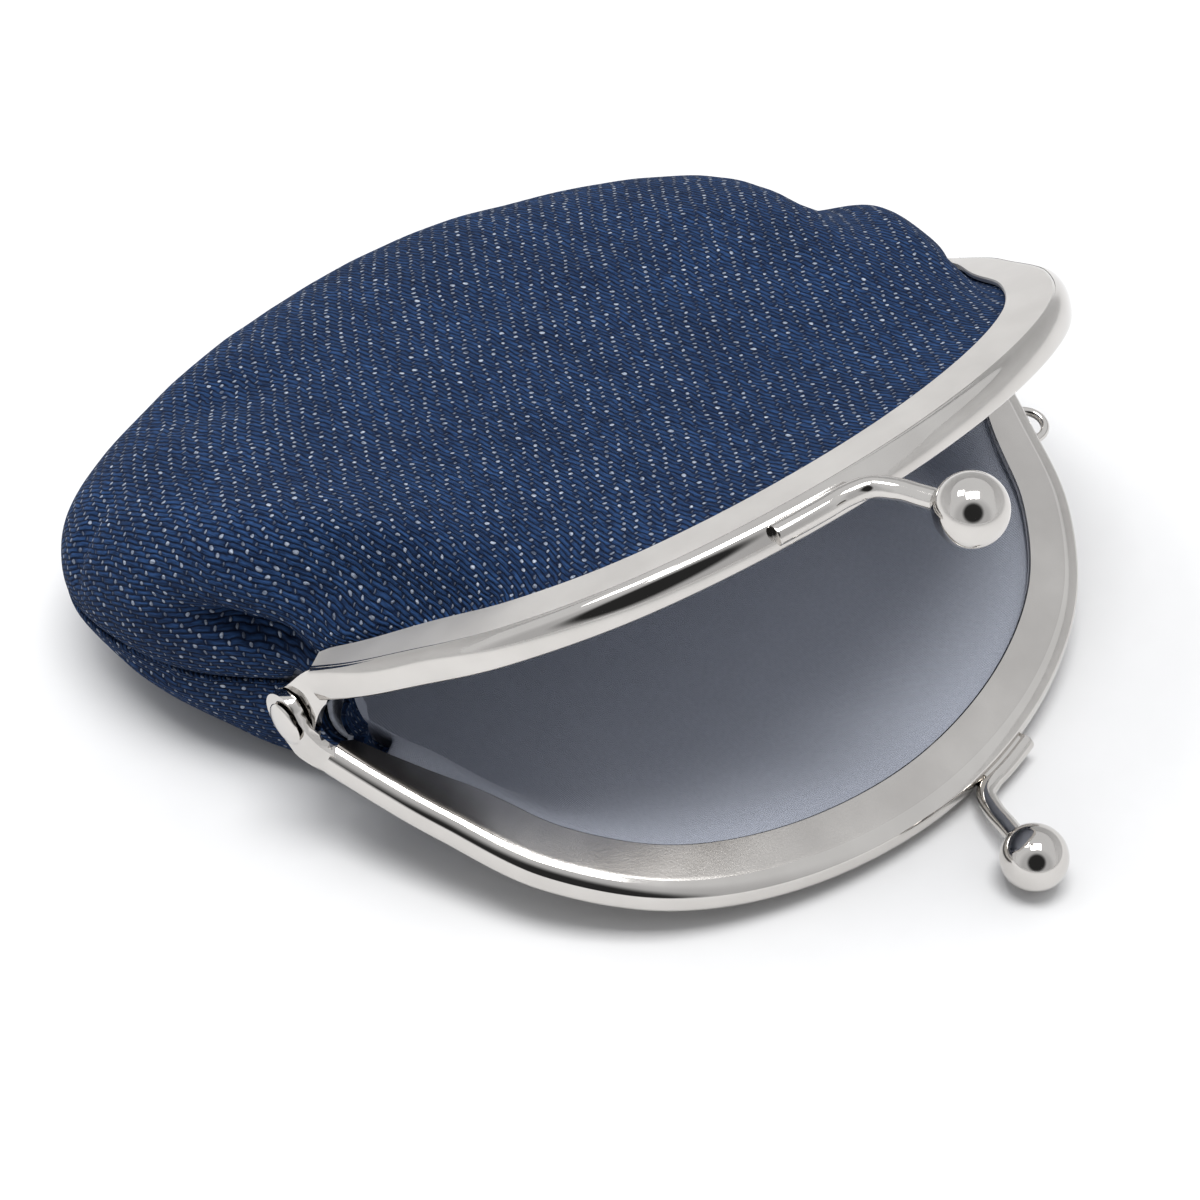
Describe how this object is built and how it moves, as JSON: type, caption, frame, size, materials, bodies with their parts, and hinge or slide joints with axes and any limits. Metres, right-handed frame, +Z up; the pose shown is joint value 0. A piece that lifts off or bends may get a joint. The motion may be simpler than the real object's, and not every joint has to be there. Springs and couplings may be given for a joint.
{
  "type": "coin purse with a round kiss-lock frame",
  "caption": "Small round denim coin purse lying open, with a pale cotton lining, a hinged nickel frame and a kiss lock of two balls.",
  "frame": {"origin": "centre of the whole object's box, on the surface it lies on", "axes": "+Z up, -Y the way the mouth faces, X along the hinge line, near leg towards -X"},
  "size_m": [0.0898, 0.0982, 0.0463],
  "materials": {
    "nickel": "warm nickel plate, satin on the side walls and polished on the spine and balls",
    "denim": "dark indigo twill with pale weft dots",
    "lining": "plain pale blue-grey cotton"
  },
  "bodies": {
    "root": {"frame_upper": "nickel", "frame_lower": "nickel", "rivet_near": "nickel", "rivet_far": "nickel", "denim_upper": "denim", "denim_lower": "denim", "lining_upper": "lining", "lining_lower": "lining"}
  },
  "joints": []
}
